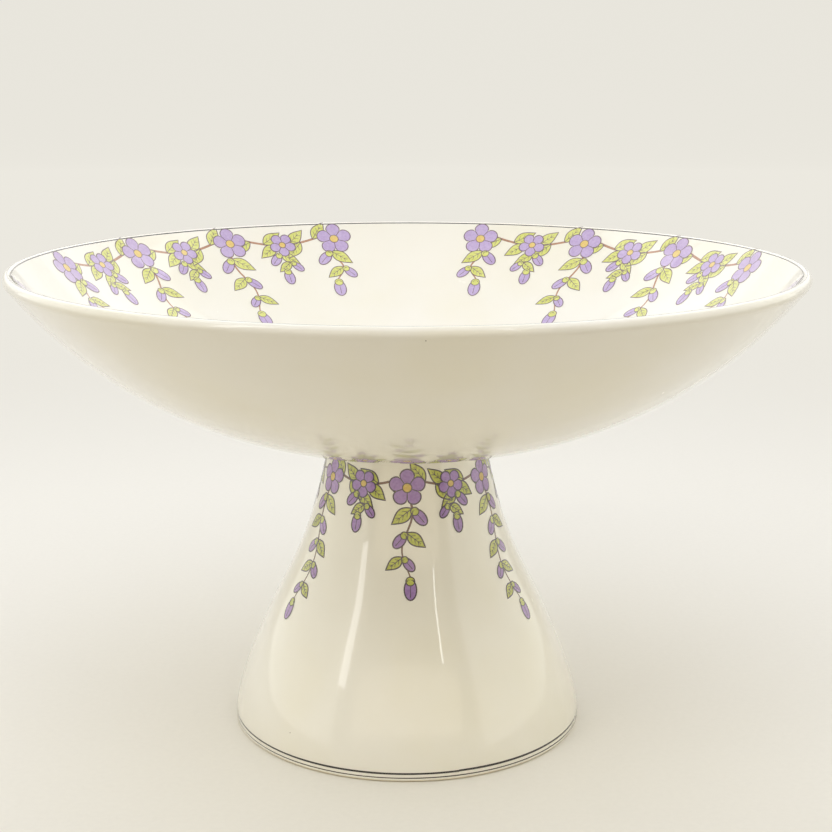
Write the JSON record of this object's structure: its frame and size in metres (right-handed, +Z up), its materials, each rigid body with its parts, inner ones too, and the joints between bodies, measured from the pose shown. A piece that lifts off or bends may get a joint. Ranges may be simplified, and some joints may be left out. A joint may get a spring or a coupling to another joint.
{
  "type": "footed compote bowl",
  "caption": "Wide shallow glazed bowl on a hollow bell-shaped pedestal, clamped through the middle by a screw and nut.",
  "frame": {"origin": "on the axis, at the level of the table that the pedestal's resting ring stands on", "axes": "+Z up along the axis of bowl and pedestal; +X along the slot of the screw's head"},
  "size_m": [0.33, 0.33, 0.2],
  "materials": {
    "bowl_glaze": "gloss",
    "pedestal_glaze": "gloss",
    "gasket_silicone": "satin",
    "cushion_rubber": "matte",
    "bright_metal": "polished",
    "zinc_steel": "satin"
  },
  "bodies": {
    "root": {"bowl": "bowl_glaze", "pedestal": "pedestal_glaze", "seat_gasket": "gasket_silicone", "cup_cushion": "cushion_rubber", "cup_washer": "bright_metal", "clamp_screw": "bright_metal", "deck_cushion": "cushion_rubber", "penny_washer": "zinc_steel", "spring_washer": "zinc_steel", "hex_nut": "zinc_steel"}
  },
  "joints": []
}
